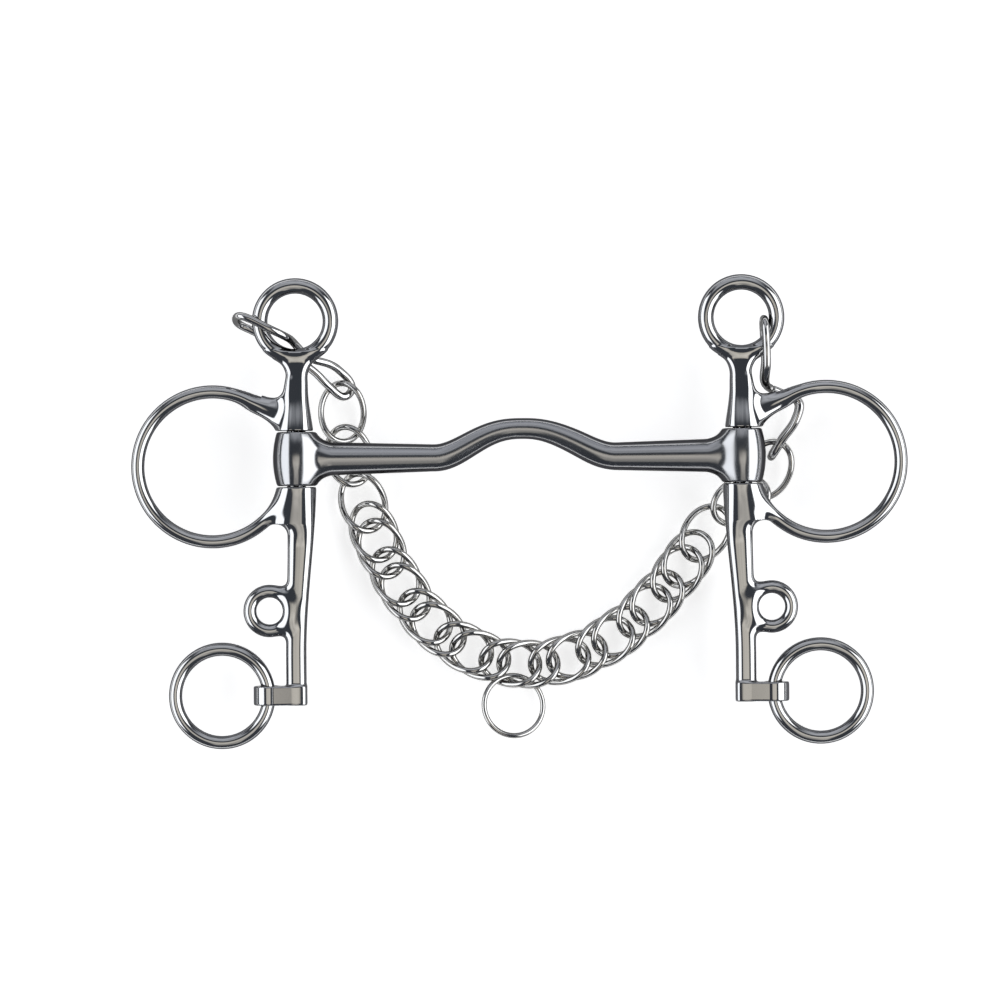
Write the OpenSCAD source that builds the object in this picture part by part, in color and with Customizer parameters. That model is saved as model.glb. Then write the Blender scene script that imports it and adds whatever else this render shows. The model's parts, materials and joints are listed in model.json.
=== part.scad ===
// Curb bit: a fixed-port mouthpiece with two swivelling cheeks, two rein rings,
// two wire curb hooks, a doubled curb chain and a fly ring, lying flat on a table.
// X runs along the mouthpiece, Y up the shanks, Z up. Millimetres.

/* [Mouthpiece] */
// clear width between the inner edges of the two bosses
bit_w = 127; // [100:0.5:160]
// diameter of the bar beside the bosses
bar_d = 10.7; // [8:0.1:16]
// diameter of the bar at the shoulders of the port
shoulder_d = 8.2; // [6:0.1:14]
// thickness of the bar at the top of the port
port_d = 7.1; // [5:0.1:12]
// rise of the port above the bar
port_h = 8.4; // [0:0.1:20]
// half width of the port at its foot
port_half_w = 25; // [10:0.5:35]
// length of each boss along the shank
boss_h = 17; // [10:0.5:30]
// radius of a boss at its ends
boss_r = 6.1; // [4.5:0.1:10]
// swell of a boss at its middle
boss_swell = 1.3; // [0:0.1:3]
// radius of the cheek spindle that turns in the boss
spindle_r = 3; // [2:0.1:4]
// radial play of the spindle in the boss
spindle_play = 0.06; // [0.02:0.01:0.1]

/* [Cheeks] */
// height of the centre of the top eye over the boss centre
eye_y = 43.4; // [30:0.1:60]
// radius of the wire circle of the top eye
eye_ring_r = 11.15; // [8:0.05:16]
// diameter of the wire of the top eye
eye_wire_d = 5; // [3:0.1:6]
// distance of the centre of the side ring from the boss axis
side_ring_x = 26.35; // [20:0.05:35]
// height of the centre of the side ring
side_ring_y = -2.2; // [-6:0.1:4]
// radius of the wire circle of the side ring
side_ring_r = 23.6; // [16:0.1:32]
// diameter of the wire of the side ring
side_wire_d = 4.2; // [3:0.1:6]
// width of the upright at the neck below the top eye
neck_w = 6.8; // [5:0.1:10]
// thickness of the upright and of the shank
shank_t = 5.8; // [4:0.1:9]
// width of the shank above the foot
shank_w = 6.2; // [5:0.1:10]
// radius of the fillet between the upright and the side ring
fillet_r = 4.2; // [2:0.1:8]
// length of the shank, from the boss centre to the bottom of the foot
shank_len = 77.4; // [50:0.1:110]
// height of the foot
foot_h = 6.1; // [4:0.1:9]
// distance of the drilled barrel of the foot from the boss axis
barrel_x = 9.3; // [7:0.1:14]
// radius of the drilled barrel
barrel_r = 4.8; // [3.5:0.1:7]
// radius of the drilled hole that carries the rein ring
barrel_hole_r = 2.55; // [1.5:0.05:3.5]
// distance of the lip-strap loop from the boss axis
strap_loop_x = 8.8; // [6:0.1:12]
// height of the lip-strap loop
strap_loop_y = -47.75; // [-70:0.05:-35]
// radius of the wire circle of the lip-strap loop
strap_loop_r = 6.2; // [4:0.02:9]
// diameter of the wire of the lip-strap loop
strap_wire_d = 4.2; // [2.5:0.05:5]
// radius of the finished hole of the lip-strap loop
strap_hole_r = 4.25; // [3:0.05:6]

/* [Rings] */
// radius of the wire circle of a rein ring
rein_ring_r = 14.7; // [10:0.05:25]
// diameter of the wire of a rein ring
rein_wire_d = 4.2; // [2.5:0.1:5]
// radius of the wire circle of the fly ring
fly_ring_r = 9.6; // [6:0.1:14]
// diameter of the wire of the fly ring
fly_wire_d = 1.7; // [1.4:0.1:3]
// width of the cut in the fly ring
fly_cut = 0.5; // [0.2:0.1:2]

/* [Curb hooks] */
// diameter of the wire of a hook
hook_wire_d = 2.7; // [2:0.1:4]
// half height of the eye loop of a hook
eye_loop_half = 4.35; // [3:0.05:6]
// half width of the bow of the left hook
left_bow_half = 3.3; // [2.4:0.05:5]
// half width of the bow of the right hook
right_bow_half = 3.3; // [2.4:0.05:5]

/* [Curb chain] */
// number of rings in the chain
chain_count = 24; // [10:1:40]
// half length of a ring, along its wire line
ring_a = 9.3; // [6:0.05:14]
// half width of a ring, along its wire line
ring_b = 6.8; // [4:0.05:9]
// twist of a ring: how far the wire rises and falls
ring_twist = 2.4; // [1:0.05:4]
// diameter of the chain wire
ring_wire_d = 1.95; // [1.2:0.05:3]
// spacing of two doubled rings
twin_gap = 5.8; // [4.5:0.05:8]
// spacing of one pair of doubled rings to the next
pair_pitch = 15.8264; // [13:0.0001:20]
// spacing of the single rings at the ends
single_pitch = 14; // [11:0.1:17]
// spacing of the second ring and the last but one to the doubled rings
taut_pitch = 15.5; // [11:0.1:17]
// twist of the two rings at each end
end_twist = 1.4; // [0.8:0.05:4]
// position of the first ring, across
chain_x = -56.15; // [-80:0.1:-30]
// position of the first ring, along the shanks
chain_y = 14.85; // [-10:0.1:30]
// heading of the first ring
chain_heading = -88.4; // [-120:0.5:-60]
// turn from the first ring to the second
chain_first_turn = 13; // [-20:0.5:30]
// least bend of the chain, degrees per millimetre
chain_bend_min = 0.0912; // [0:0.0001:1]
// extra bend in the middle of the chain, degrees per millimetre
chain_bend_mid = 1.2705; // [0:0.0001:3]
// distance along the chain of its deepest bend
chain_bend_at = 103.38; // [60:0.01:140]
// spread of the bend along the chain
chain_bend_spread = 53.79; // [20:0.01:90]

/* [Detail] */
// sides of a chain wire
chain_sides = 8; // [6:1:16]
// steps round a chain ring
chain_steps = 26; // [16:2:60]
// sides of a hook wire
hook_sides = 10; // [8:1:24]
// sides of a lofted bar or shank
loft_sides = 20; // [12:2:48]

/* [Hidden] */
$fn = 32;
ring_fn = 40;
wire_fn = 14;
steel = [0.78, 0.79, 0.80];
bar_steel = [0.66, 0.67, 0.69];
chain_steel = [0.72, 0.72, 0.72];
gap = 0.3;
// the lowest wire of the right hook stands on the table
table_set = 0.357;
// the right hook stands on the table and carries the level of the chain
chain_z = right_bow_half + hook_wire_d / 2 - table_set;
chain_top = chain_z + ring_twist + ring_wire_d / 2;
boss_mid_r = boss_r + boss_swell;
// the bit lies on the chain
bit_z = chain_top + gap + boss_mid_r;
boss_x = bit_w / 2 + boss_r + boss_swell / 2;
cheek_end = boss_h / 2 + gap;
far = 200;
// the origin lies under the middle of the outline
centre_y = (shank_len - foot_h / 2 + rein_ring_r + rein_wire_d / 2 - eye_y - eye_ring_r - eye_wire_d / 2) / 2;

// ---- shared shapes ----

// smooth step from 0 at a to 1 at b
function ramp(x, a, b) = let (t = max(0, min(1, (x - a) / (b - a)))) t * t * (3 - 2 * t);
function mix(a, b, t) = a + (b - a) * t;
function unit(v) = v / norm(v);
// half chord of a circle of radius r at height h
function chord(r, h) = sqrt(max(0, r * r - h * h));
// a superellipse section, p = 1 for an ellipse, smaller for a squarer one
function soft(v, p) = sign(v) * pow(abs(v), p);

// skin over a list of closed sections with equal numbers of points
module skin(s, closed = false) {
  m = len(s);
  n = len(s[0]);
  sides = [
    for (i = [0:m - (closed ? 1 : 2)])
      for (j = [0:n - 1])
        let (a = i * n + j, b = i * n + (j + 1) % n, c = (i + 1) % m * n)
          each [[a, c + (j + 1) % n, b], [a, c + j, c + (j + 1) % n]]
  ];
  caps = closed ? [] : [
    [for (j = [0:n - 1]) j],
    [for (j = [n - 1:-1:0]) (m - 1) * n + j]
  ];
  polyhedron(points = [for (a = s) each a], faces = concat(sides, caps));
}

// direction of an open path at point i
function heading_at(p, i) =
  unit(p[min(i + 1, len(p) - 1)] - p[max(i - 1, 0)]);

// normals carried along an open path without twist
function carried(p, first) = [
  for (
    i = 0, u = unit(first - heading_at(p, 0) * (first * heading_at(p, 0)));
    i < len(p);
    i = i + 1, u = let (t = heading_at(p, min(i, len(p) - 1))) unit(u - t * (u * t))
  ) u
];

// round wire along an open path
module open_wire(p, d, n, first) {
  u = carried(p, first);
  skin([
    for (i = [0:len(p) - 1])
      let (t = heading_at(p, i), v = cross(t, u[i]))
        [for (j = [0:n - 1]) p[i] + d / 2 * (cos(360 * j / n) * u[i] + sin(360 * j / n) * v)]
  ]);
}

// round wire along a closed path that nowhere stands upright
module closed_wire(p, d, n) {
  m = len(p);
  skin([
    for (i = [0:m - 1])
      let (
        t = unit(p[(i + 1) % m] - p[(i + m - 1) % m]),
        u = unit(cross(t, [0, 0, 1])),
        v = cross(t, u)
      )
        [for (j = [0:n - 1]) p[i] + d / 2 * (cos(360 * j / n) * u + sin(360 * j / n) * v)]
  ], closed = true);
}

module wire_ring(r, d) {
  rotate_extrude($fn = ring_fn)
    translate([r, 0])
      circle(d = d, $fn = wire_fn);
}

module placed() {
  translate([0, centre_y, 0])
    children();
}

// ---- mouthpiece ----

function bar_r(x) = let (a = abs(x))
  mix(mix(port_d, shoulder_d, ramp(a, 0, port_half_w)), bar_d, max(0, a - port_half_w) / (bit_w / 2 - port_half_w)) / 2;
function bar_y(x) = port_h * (1 - ramp(abs(x), 0, port_half_w));
// the bar spreads into the boss near its end
function bar_flare(x) = ramp(abs(x), bit_w / 2 - 5, boss_x - 3);

module bar() {
  last = boss_x - 2;
  steps = 56;
  skin([
    for (i = [0:steps])
      let (
        x = -last * cos(180 * i / steps),
        h = mix(bar_r(x), boss_h / 2 - 0.4, bar_flare(x)),
        t = mix(bar_r(x), boss_r - 0.2, bar_flare(x))
      )
        [
          for (j = [0:loft_sides - 1])
            let (a = 360 * j / loft_sides, p = mix(1, 0.72, bar_flare(x)))
              [x, bar_y(x) + h * soft(cos(a), p), bit_z + t * soft(sin(a), p)]
        ]
  ]);
}

// barrel: ends of radius boss_r, swelling to boss_mid_r
module barrel() {
  swell_r = (boss_h * boss_h / 4 + boss_swell * boss_swell) / (2 * boss_swell);
  half = boss_h / 2;
  arc = asin(half / swell_r);
  rotate([90, 0, 0])
    rotate_extrude()
      intersection() {
        translate([boss_mid_r - swell_r, 0])
          circle(r = swell_r, $fn = 90);
        translate([0, -half])
          square([boss_mid_r, boss_h]);
      }
}

module mouthpiece() {
  color(bar_steel)
    placed()
    difference() {
      union() {
        bar();
        for (side = [-1, 1])
          translate([side * boss_x, 0, bit_z])
            barrel();
      }
      for (side = [-1, 1])
        translate([side * boss_x, far / 2, bit_z])
          rotate([90, 0, 0])
            cylinder(r = spindle_r + spindle_play, h = far);
    }
}

// ---- cheeks, drawn for the right side with the boss centre as origin ----

// inboard edge of the upright and of the shank
function inner_edge(y) = y > 0
  ? mix(-neck_w * 0.57, -boss_r + 0.4, 1 - ramp(y, cheek_end - 4, 22))
  : mix(-boss_r - 0.2, -shank_w * 0.43, ramp(-y, cheek_end - 4, 62));

neck_x = neck_w * 0.43;
fillet_x = neck_x + fillet_r;
fillet_y = side_ring_y + chord(side_ring_r + side_wire_d / 2 + fillet_r, side_ring_x - fillet_x);
crotch_x = 3 + fillet_r * 0.75;
crotch_y = side_ring_y - chord(side_ring_r + side_wire_d / 2 + fillet_r * 0.75, side_ring_x - crotch_x);

// outboard edge of the upright: boss end, arm, fillet, neck
function upper_edge(y) = y < fillet_y - fillet_r
  ? mix(5.4, fillet_x, (y - cheek_end) / (fillet_y - fillet_r - cheek_end))
  : fillet_x - chord(fillet_r, min(0, y - fillet_y));
// outboard edge of the shank: boss end, arm, fillet, shank
function lower_edge(y) = y > crotch_y + fillet_r * 0.75
  ? mix(5.4, crotch_x, (cheek_end + y) / (cheek_end + crotch_y + fillet_r * 0.75))
  : crotch_x - chord(fillet_r * 0.75, max(0, y - crotch_y)) + 0.9 * ramp(crotch_y - y, 0, 40);

// the fork under the top eye: a fillet of radius fork_r on each side
fork_r = 8;
fork_y = eye_y - chord(eye_ring_r + eye_wire_d / 2 + fork_r, neck_w / 2 + fork_r);
// where the fillet meets the ring of the eye
fork_top = mix(eye_y, fork_y, (eye_ring_r + eye_wire_d / 2) / (eye_ring_r + eye_wire_d / 2 + fork_r));
// above that height the web stays inside the ring
function fork_half(y) = y < fork_top
  ? fork_r - chord(fork_r, max(0, y - fork_y))
  : chord(eye_ring_r + eye_wire_d * 0.4, eye_y - y) - neck_w / 2;

// flat-oval section between two edges at height y
function slab(x0, x1, y, t) = [
  for (j = [0:loft_sides - 1])
    let (a = -360 * j / loft_sides)
      [(x0 + x1) / 2 + (x1 - x0) / 2 * soft(cos(a), 0.85), y, t / 2 * soft(sin(a), 0.85)]
];

module upright() {
  top = eye_y - eye_ring_r + 1.6;
  arm_y = fillet_y - fillet_r;
  ys = concat(
    [for (i = [0:5]) mix(cheek_end, arm_y - 0.1, i / 5)],
    [for (i = [1:7]) fillet_y - fillet_r * cos(90 * i / 7 )],
    [for (i = [1:10]) mix(fillet_y, top, i / 10)]
  );
  skin([
    for (y = ys)
      slab(
        mix(inner_edge(y), inner_edge(y) + 0.5, ramp(y, 22, 34)) - fork_half(y),
        upper_edge(y) + fork_half(y),
        y,
        mix(2 * boss_r - 0.6, mix(shank_t, eye_wire_d, ramp(y, 26, 34)), ramp(y, cheek_end - 2, 19))
      )
  ]);
}

module shank() {
  foot_y = -shank_len + 0.6;
  arm_y = crotch_y + fillet_r * 0.75;
  ys = concat(
    [for (i = [0:5]) mix(-cheek_end, arm_y + 0.1, i / 5)],
    [for (i = [1:6]) crotch_y + fillet_r * 0.75 * cos(90 * i / 6)],
    [for (i = [1:8]) mix(crotch_y, foot_y, i / 8)]
  );
  mirror([0, 1, 0])
    skin([
      for (y = ys)
        [
          for (q = slab(inner_edge(y), lower_edge(y), y, mix(2 * boss_r - 0.6, shank_t, ramp(-y, cheek_end - 2, 28))))
            [q[0], -q[1], q[2]]
        ]
    ]);
}

// arm of the side ring: from the ring at angle a0 to the upright at angle a1
module arm(a0, a1, lift) {
  steps = 8;
  skin([
    for (i = [0:steps])
      let (
        t = i / steps,
        a = mix(a0, a1, t),
        r = side_ring_r + lift * ramp(t, 0, 1),
        c = [side_ring_x + r * cos(a), side_ring_y + r * sin(a)],
        w = side_wire_d / 2 * (0.86 + 0.14 * ramp(t, 0, 0.3) + 0.22 * ramp(t, 0.3, 1)),
        h = side_wire_d / 2 * (0.86 + 0.14 * ramp(t, 0, 0.3) + 0.72 * ramp(t, 0.1, 1))
      )
        [
          for (j = [0:loft_sides - 1])
            let (b = (a1 > a0 ? -360 : 360) * j / loft_sides)
              [c[0] + w * cos(b) * cos(a), c[1] + w * cos(b) * sin(a), h * sin(b)]
        ]
  ]);
}

module side_ring() {
  turn = 128;
  translate([side_ring_x, side_ring_y, 0])
    rotate(-turn)
      rotate_extrude(angle = 2 * turn, $fn = ring_fn)
        translate([side_ring_r, 0])
          circle(d = side_wire_d, $fn = wire_fn);
  arm(turn - 3, 151, 1.1);
  arm(-turn + 3, -163, 0.6);
}

module foot() {
  low = -shank_len;
  inner = inner_edge(low);
  translate([0, low + foot_h / 2, 0])
    rotate([90, 0, 0])
      linear_extrude(foot_h, center = true)
        polygon([
          [inner + 1.2, -shank_t / 2],
          [barrel_x, -barrel_r],
          [barrel_x, barrel_r],
          [inner + 1.2, shank_t / 2],
          [inner + 0.3, shank_t / 2 - 1.2],
          [inner + 0.3, 1.2 - shank_t / 2]
        ]);
  translate([barrel_x, low + foot_h / 2, 0])
    rotate([90, 0, 0])
      cylinder(r = barrel_r, h = foot_h, center = true);
}

module strap_loop() {
  translate([strap_loop_x, strap_loop_y, 0])
    wire_ring(strap_loop_r, strap_wire_d);
}

module spindle() {
  rotate([90, 0, 0])
    cylinder(r = spindle_r, h = 2 * cheek_end + 4, center = true);
}

module cheek() {
  difference() {
    union() {
      difference() {
        upright();
        translate([0, eye_y, 0])
          cylinder(r = eye_ring_r - eye_wire_d * 0.3, h = 20, center = true);
      }
      translate([0, eye_y, 0])
        wire_ring(eye_ring_r, eye_wire_d);
      shank();
      side_ring();
      foot();
      strap_loop();
      spindle();
    }
    translate([strap_loop_x, strap_loop_y, 0])
      cylinder(r = strap_hole_r, h = 20, center = true);
    translate([barrel_x, -shank_len + foot_h / 2, 0])
      rotate([90, 0, 0])
        cylinder(r = barrel_hole_r, h = foot_h + 8, center = true);
  }
}

module right_cheek() {
  color(steel)
    placed()
    translate([boss_x, 0, bit_z])
      cheek();
}

module left_cheek() {
  color(steel)
    placed()
    translate([-boss_x, 0, bit_z])
      mirror([1, 0, 0])
        cheek();
}

// ---- rein rings ----

rein_x = barrel_x + rein_ring_r;
rein_y = -shank_len + foot_h / 2;

module right_rein_ring() {
  color(steel)
    placed()
    translate([boss_x + rein_x, rein_y, bit_z])
      wire_ring(rein_ring_r, rein_wire_d);
}

module left_rein_ring() {
  color(steel)
    placed()
    translate([-boss_x - rein_x, rein_y, bit_z])
      wire_ring(rein_ring_r, rein_wire_d);
}

// ---- curb chain ----

// distance from ring i to the next one, counted from 0
function step_len(i) = i < 1 || i > chain_count - 3
  ? single_pitch
  : i < 2 || i > chain_count - 4
  ? taut_pitch
  : (i % 2 == 1 && i < chain_count - 4 ? twin_gap : pair_pitch - twin_gap);
function bend(s) = chain_bend_min + chain_bend_mid * exp(-pow((s - chain_bend_at) / chain_bend_spread, 2));
// the last three turns lay the chain under the right cheek
last_turns = [0, -25, 36];
function turn_at(i, s) = i == 0
  ? chain_first_turn
  : (i > chain_count - 5 ? last_turns[min(2, i - chain_count + 4)] : step_len(i) * bend(s + step_len(i) / 2));
function ahead(h) = [cos(h), sin(h)];

// place and heading of every ring: half a step on the old heading, half on the new
places = [
  for (
    i = 0, p = [chain_x, chain_y], h = chain_heading, s = 0, k = step_len(0), t = turn_at(0, 0);
    i < chain_count;
    p = p + k / 2 * (ahead(h) + ahead(h + t)),
    h = h + t,
    s = s + k,
    i = i + 1,
    k = step_len(i),
    t = turn_at(i, s)
  ) [p, h]
];

// wire line of one ring: an oval whose ends are twisted over and under
function ring_line(twist) = [
  for (i = [0:chain_steps - 1])
    let (a = 360 * (i + 0.5) / chain_steps)
      [ring_a * cos(a), ring_b * sin(a), -twist * sin(2 * a)]
];

module chain_ring(i) {
  color(chain_steel)
    placed()
    translate([places[i][0][0], places[i][0][1], chain_z])
      rotate(places[i][1])
        closed_wire(
          ring_line(i < 2 || i > chain_count - 3 ? end_twist : ring_twist),
          ring_wire_d, chain_sides
        );
}

module chain_ring_01() {
  chain_ring(0);
}

module chain_ring_02() {
  chain_ring(1);
}

module chain_ring_03() {
  chain_ring(2);
}

module chain_ring_04() {
  chain_ring(3);
}

module chain_ring_05() {
  chain_ring(4);
}

module chain_ring_06() {
  chain_ring(5);
}

module chain_ring_07() {
  chain_ring(6);
}

module chain_ring_08() {
  chain_ring(7);
}

module chain_ring_09() {
  chain_ring(8);
}

module chain_ring_10() {
  chain_ring(9);
}

module chain_ring_11() {
  chain_ring(10);
}

module chain_ring_12() {
  chain_ring(11);
}

module chain_ring_13() {
  chain_ring(12);
}

module chain_ring_14() {
  chain_ring(13);
}

module chain_ring_15() {
  chain_ring(14);
}

module chain_ring_16() {
  chain_ring(15);
}

module chain_ring_17() {
  chain_ring(16);
}

module chain_ring_18() {
  chain_ring(17);
}

module chain_ring_19() {
  chain_ring(18);
}

module chain_ring_20() {
  chain_ring(19);
}

module chain_ring_21() {
  chain_ring(20);
}

module chain_ring_22() {
  chain_ring(21);
}

module chain_ring_23() {
  chain_ring(22);
}

module chain_ring_24() {
  chain_ring(23);
}

// ---- fly ring ----

fly_host = places[11];
// the fly ring leans so that it passes over and under the doubled rings
fly_lean = [-9.9, 13.5, 0];
fly_at = [fly_host[0][0] + 0.9, fly_host[0][1] - ring_b - fly_ring_r + 2.85, chain_z + 0.87];

module fly_ring() {
  color(chain_steel)
    placed()
    translate(fly_at)
      rotate(fly_lean)
        difference() {
          wire_ring(fly_ring_r, fly_wire_d);
          rotate(48)
            translate([fly_ring_r, 0, 0])
              cube([2 * fly_wire_d, fly_cut, 2 * fly_wire_d], center = true);
        }
}

// ---- curb hooks ----

// point at distance u along a path of three-dimensional stations, rounded at each
function curve(s, t) =
  let (
    n = len(s) - 1,
    i = min(floor(t * n), n - 1),
    f = t * n - i,
    a = s[max(i - 1, 0)],
    b = s[i],
    c = s[i + 1],
    d = s[min(i + 2, n)]
  )
    0.5 * ((2 * b) + (c - a) * f + (2 * a - 5 * b + 4 * c - d) * f * f + (3 * b - a - 3 * c + d) * f * f * f);

// offset of one strand from the middle line: half is the spacing, roll turns it level
function strand(s, half, roll, t, side) =
  let (
    g = unit(curve(s, min(1, t + 0.01)) - curve(s, max(0, t - 0.01))),
    level = unit(cross([0, 0, 1], g)),
    up = cross(g, level)
  )
    curve(s, t) + side * half * (cos(roll) * up + sin(roll) * level);

// half of the slit between the two cut ends of a hook, as a share of its length
cut_half = 0.015;

// path of a whole hook: cut end, bow, eye loop, and back to the waist
// s stations of the middle line, eye_half and bow_half spacings, w waist place,
// rolls at the eye, the waist and the bow
function hook_path(s, eye_half, bow_half, w, eye_t, bow_t, rolls) =
  let (
    half = function (t) t < w
      ? mix(eye_half, hook_wire_d * 0.52, ramp(t, mix(eye_t, w, 0.4), w))
      : mix(hook_wire_d * 0.52, bow_half, ramp(t, w, mix(w, 1, 0.55))),
    roll = function (t) t < w
      ? mix(rolls[0], rolls[1], ramp(t, w * 0.4, w))
      : mix(rolls[1], rolls[2], ramp(t, w, mix(w, 1, 0.6)))
  )
    concat(
      [for (i = [0:14]) let (t = mix(w - cut_half, 1 - bow_t, i / 14)) strand(s, half(t), roll(t), t, 1)],
      [for (i = [1:9]) let (a = 180 * i / 10, t = 1 - bow_t + bow_t * sin(a)) strand(s, bow_half * cos(a), roll(t), t, 1)],
      [for (i = [0:26]) let (t = mix(1 - bow_t, eye_t, i / 26)) strand(s, half(t), roll(t), t, -1)],
      [for (i = [1:9]) let (a = 180 * i / 10, t = eye_t - eye_t * sin(a)) strand(s, -eye_half * cos(a), roll(t), t, 1)],
      [for (i = [0:12]) let (t = mix(eye_t, w - 3 * cut_half, i / 12)) strand(s, half(t), roll(t), t, 1)]
    );

left_stations = [
  [18.6, 44.4, bit_z], [13.4, 42.2, bit_z], [7.6, 38.9, bit_z - 0.3], [2.4, 35.0, bit_z - 3.6],
  [-3.6, 30.9, bit_z - 5.4], [-8.9, 27.9, bit_z - 7.6], [-13.05, 24.4, chain_z + 0.5], [-16.25, 20.65, chain_z - 0.7]
];

right_stations = [
  [7.1, 42.9, bit_z], [7.5, 36.5, bit_z], [7.7, 29.5, bit_z - 0.4], [7.9, 22.5, bit_z - 4.6], [13.0, 19.6, bit_z - 6.4],
  [18.6, 16.6, bit_z - 7.6], [17.3, 10.6, chain_z + 2.6], [13.6, 5.3, chain_z + 0.7], [9.9, -0.5, chain_z]
];

module left_curb_hook() {
  color(steel)
    placed()
    open_wire(
      [
        for (q = hook_path(left_stations, eye_loop_half, left_bow_half, 0.56, 0.1, 0.12, [-20, -90, -115]))
          [-boss_x - q[0], q[1], q[2]]
      ],
      hook_wire_d, hook_sides, [0, 0, 1]
    );
}

module right_curb_hook() {
  color(steel)
    placed()
    open_wire(
      [
        for (q = hook_path(right_stations, eye_loop_half, right_bow_half, 0.45, 0.1, 0.08, [0, 0, 0]))
          [boss_x + q[0], q[1], q[2]]
      ],
      hook_wire_d, hook_sides, [1, 0, 0]
    );
}

// ---- nodes ----

mouthpiece();
left_cheek();
right_cheek();
left_rein_ring();
right_rein_ring();
left_curb_hook();
right_curb_hook();
fly_ring();
chain_ring_01();
chain_ring_02();
chain_ring_03();
chain_ring_04();
chain_ring_05();
chain_ring_06();
chain_ring_07();
chain_ring_08();
chain_ring_09();
chain_ring_10();
chain_ring_11();
chain_ring_12();
chain_ring_13();
chain_ring_14();
chain_ring_15();
chain_ring_16();
chain_ring_17();
chain_ring_18();
chain_ring_19();
chain_ring_20();
chain_ring_21();
chain_ring_22();
chain_ring_23();
chain_ring_24();
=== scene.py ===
import json
import math

import bpy
import numpy as np
from mathutils import Euler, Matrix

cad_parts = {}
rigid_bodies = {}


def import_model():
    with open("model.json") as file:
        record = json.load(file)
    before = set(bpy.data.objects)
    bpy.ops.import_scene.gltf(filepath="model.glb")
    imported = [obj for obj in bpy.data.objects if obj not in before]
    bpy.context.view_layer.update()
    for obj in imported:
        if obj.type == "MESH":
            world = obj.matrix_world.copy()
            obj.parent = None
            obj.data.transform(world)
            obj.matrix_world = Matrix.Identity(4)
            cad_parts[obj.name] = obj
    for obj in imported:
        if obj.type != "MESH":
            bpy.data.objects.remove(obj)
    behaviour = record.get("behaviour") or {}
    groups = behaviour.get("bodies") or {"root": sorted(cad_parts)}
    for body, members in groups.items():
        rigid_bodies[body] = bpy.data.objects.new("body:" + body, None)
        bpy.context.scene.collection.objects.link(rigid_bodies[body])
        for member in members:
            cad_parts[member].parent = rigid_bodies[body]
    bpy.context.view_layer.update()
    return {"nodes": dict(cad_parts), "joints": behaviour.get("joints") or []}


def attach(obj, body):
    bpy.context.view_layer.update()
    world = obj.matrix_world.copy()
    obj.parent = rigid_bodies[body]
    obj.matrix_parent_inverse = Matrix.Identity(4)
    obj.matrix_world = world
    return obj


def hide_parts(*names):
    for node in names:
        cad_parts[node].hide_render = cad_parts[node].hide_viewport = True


# The looks of a curb bit that lies flat on a white table: polished steel cheeks, a
# slightly duller bar, wire hooks, a doubled chain and a fly ring. Lengths are in
# millimetres until a mesh is made. The frame and the scene are in metres.
# Names of lengths: _R radius, _D diameter, _T thickness, _W width, _H height, _WIRE
# radius of a wire, _EDGE rounding of a cut, _BLEND fillet where two shapes join.

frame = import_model()
JOINTS = {joint["name"]: joint for joint in frame["joints"]}
MM = 0.001

# ---- image points, in the photograph's frame of 1000 by 1000 ----

IMAGE_W = 1000
IMAGE_H = 1000

# ---- camera ----

CAMERA_X = -6.22
CAMERA_Y = 3.60
CAMERA_Z = 1065.0
CAMERA_TURN = (0.0, 0.0, -0.52)
SENSOR = 36.0
LENS = 119.98
CLIP_START = 0.01
CLIP_END = 50


def make_camera():
    data = bpy.data.cameras.new("camera")
    data.sensor_fit = "AUTO"
    data.sensor_width = SENSOR
    data.lens = LENS
    data.clip_start = CLIP_START
    data.clip_end = CLIP_END
    cam = bpy.data.objects.new("camera", data)
    cam.location = (CAMERA_X * MM, CAMERA_Y * MM, CAMERA_Z * MM)
    cam.rotation_euler = Euler([math.radians(a) for a in CAMERA_TURN])
    bpy.context.scene.collection.objects.link(cam)
    bpy.context.scene.camera = cam
    return cam


camera = make_camera()

# ---- places taken from the frame ----


def joint_place(name):
    return np.array(JOINTS[name]["pos_m"]) / MM


SIDE = {"left": -1.0, "right": 1.0}
BOSS = {side: joint_place(side + "_cheek_swivel") for side in SIDE}
BOSS_X, BIT_Y, BIT_Z = BOSS["right"]

# ---- distance fields, in numpy: p is a list of x, y and z ----

ROUND = 2  # power of a round section
NO_ZERO = 1e-12


def ramp(x, a, b):
    """Smooth step from 0 at a to 1 at b."""
    t = np.clip((x - a) / (b - a), 0, 1)
    return t * t * (3 - 2 * t)


def mix(a, b, t):
    return a + (b - a) * t


def chord(r, h):
    """Half the chord of a circle at height h, 0 outside it."""
    return np.sqrt(np.maximum(0, r * r - h * h))


def join(a, b, k):
    """Union of two fields with a fillet of about k."""
    h = np.clip(0.5 + 0.5 * (b - a) / k, 0, 1)
    return mix(b, a, h) - k * h * (1 - h)


def cut(a, b, k):
    """What both fields hold, with an edge rounded by about k."""
    return -join(-a, -b, k)


def torus(p, x, y, r, wire):
    return np.hypot(np.hypot(p[0] - x, p[1] - y) - r, p[2]) - wire


def oval(u, v, a, b, power):
    """Field of a soft-cornered section of half sizes a and b."""
    u, v = np.abs(u) / a, np.abs(v) / b
    return ((u**power + v**power + NO_ZERO) ** (1 / power) - 1) * np.minimum(a, b)


# ---- sizes of the mouthpiece ----

# The flare is where the bar widens into the boss: from FLARE_FROM before the bar's end to
# FLARE_TO before the boss's axis. BOSS_SWELL is how far the barrel stands out in its
# middle, BOSS_SIDE_R the radius of its side. PORT_FULL above 1 makes the port's top wider.

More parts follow.
